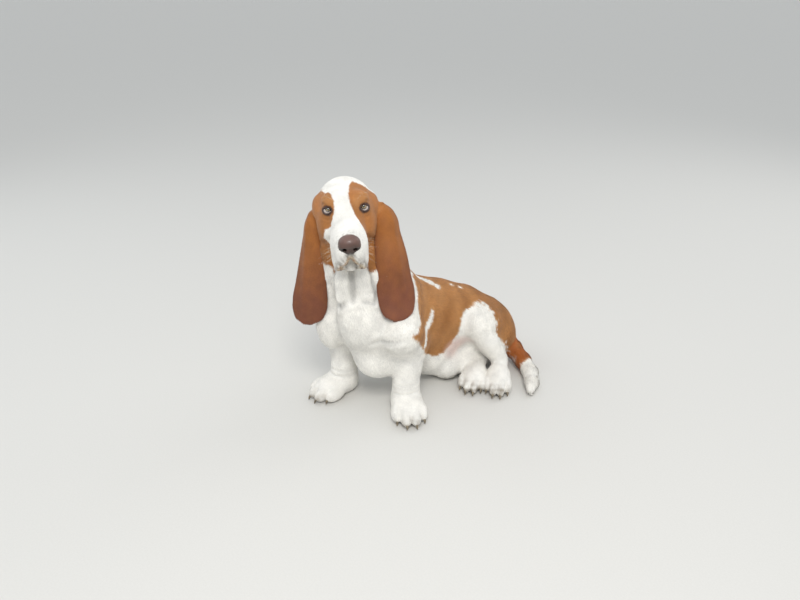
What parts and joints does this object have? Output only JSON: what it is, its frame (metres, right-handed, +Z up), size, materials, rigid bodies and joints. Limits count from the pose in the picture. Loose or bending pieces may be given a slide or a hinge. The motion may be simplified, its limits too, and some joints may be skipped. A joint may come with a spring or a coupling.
{
  "type": "sitting basset hound",
  "caption": "A young basset hound in a white, tan and rust coat, sitting on its right haunch with its head turned to its left and its long ears hanging.",
  "frame": {"origin": "middle of the model's footprint, on the floor it sits on", "axes": "+Z up, -Y the way the chest faces, +X the dog's left"},
  "size_m": [0.4182, 0.5244, 0.5186],
  "materials": {
    "coat": "matte",
    "nose_leather": "satin",
    "eye": "gloss",
    "claw": "satin"
  },
  "bodies": {
    "root": {"head": "coat", "nose": "nose_leather", "eye_left": "eye", "eye_right": "eye", "ear_left": "coat", "ear_right": "coat", "neck": "coat", "torso": "coat", "foreleg_left": "coat", "foreleg_right": "coat", "forepaw_left": "coat", "forepaw_right": "coat", "hindleg_left": "coat", "hindleg_right": "coat", "hindpaw_left": "coat", "hindpaw_right": "coat", "tail": "coat", "claw_fore_left_1": "claw", "claw_fore_left_2": "claw", "claw_fore_left_3": "claw", "claw_fore_left_4": "claw", "claw_fore_right_1": "claw", "claw_fore_right_2": "claw", "claw_fore_right_3": "claw", "claw_fore_right_4": "claw", "claw_hind_left_1": "claw", "claw_hind_left_2": "claw", "claw_hind_left_3": "claw", "claw_hind_left_4": "claw", "claw_hind_right_1": "claw", "claw_hind_right_2": "claw", "claw_hind_right_3": "claw", "claw_hind_right_4": "claw"}
  },
  "joints": []
}
